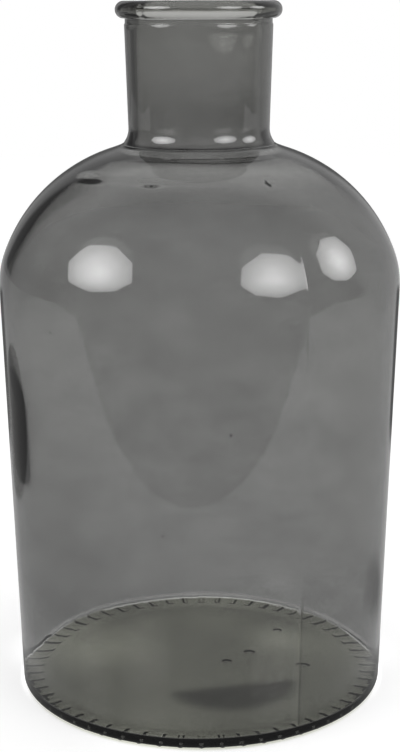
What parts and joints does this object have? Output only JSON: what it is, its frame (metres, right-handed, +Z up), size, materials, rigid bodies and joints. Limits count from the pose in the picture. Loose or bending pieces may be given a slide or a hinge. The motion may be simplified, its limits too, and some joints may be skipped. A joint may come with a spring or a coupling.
{
  "type": "bottle vase",
  "caption": "Tall bottle-shaped vase of smoke-grey moulded glass: straight body, domed shoulder, short neck with a beaded lip, open mouth for flower stems.",
  "frame": {"origin": "centre of the base, on the plane that the vase stands on", "axes": "+Z up the axis of the vessel, out of the mouth; -Y is the side that the picture shows; +X is to the right there"},
  "size_m": [0.1726, 0.1726, 0.3],
  "materials": {
    "smoke_glass": "fire-polished, see-through smoke grey"
  },
  "bodies": {
    "root": {"glass_vase": "smoke_glass"}
  },
  "joints": []
}
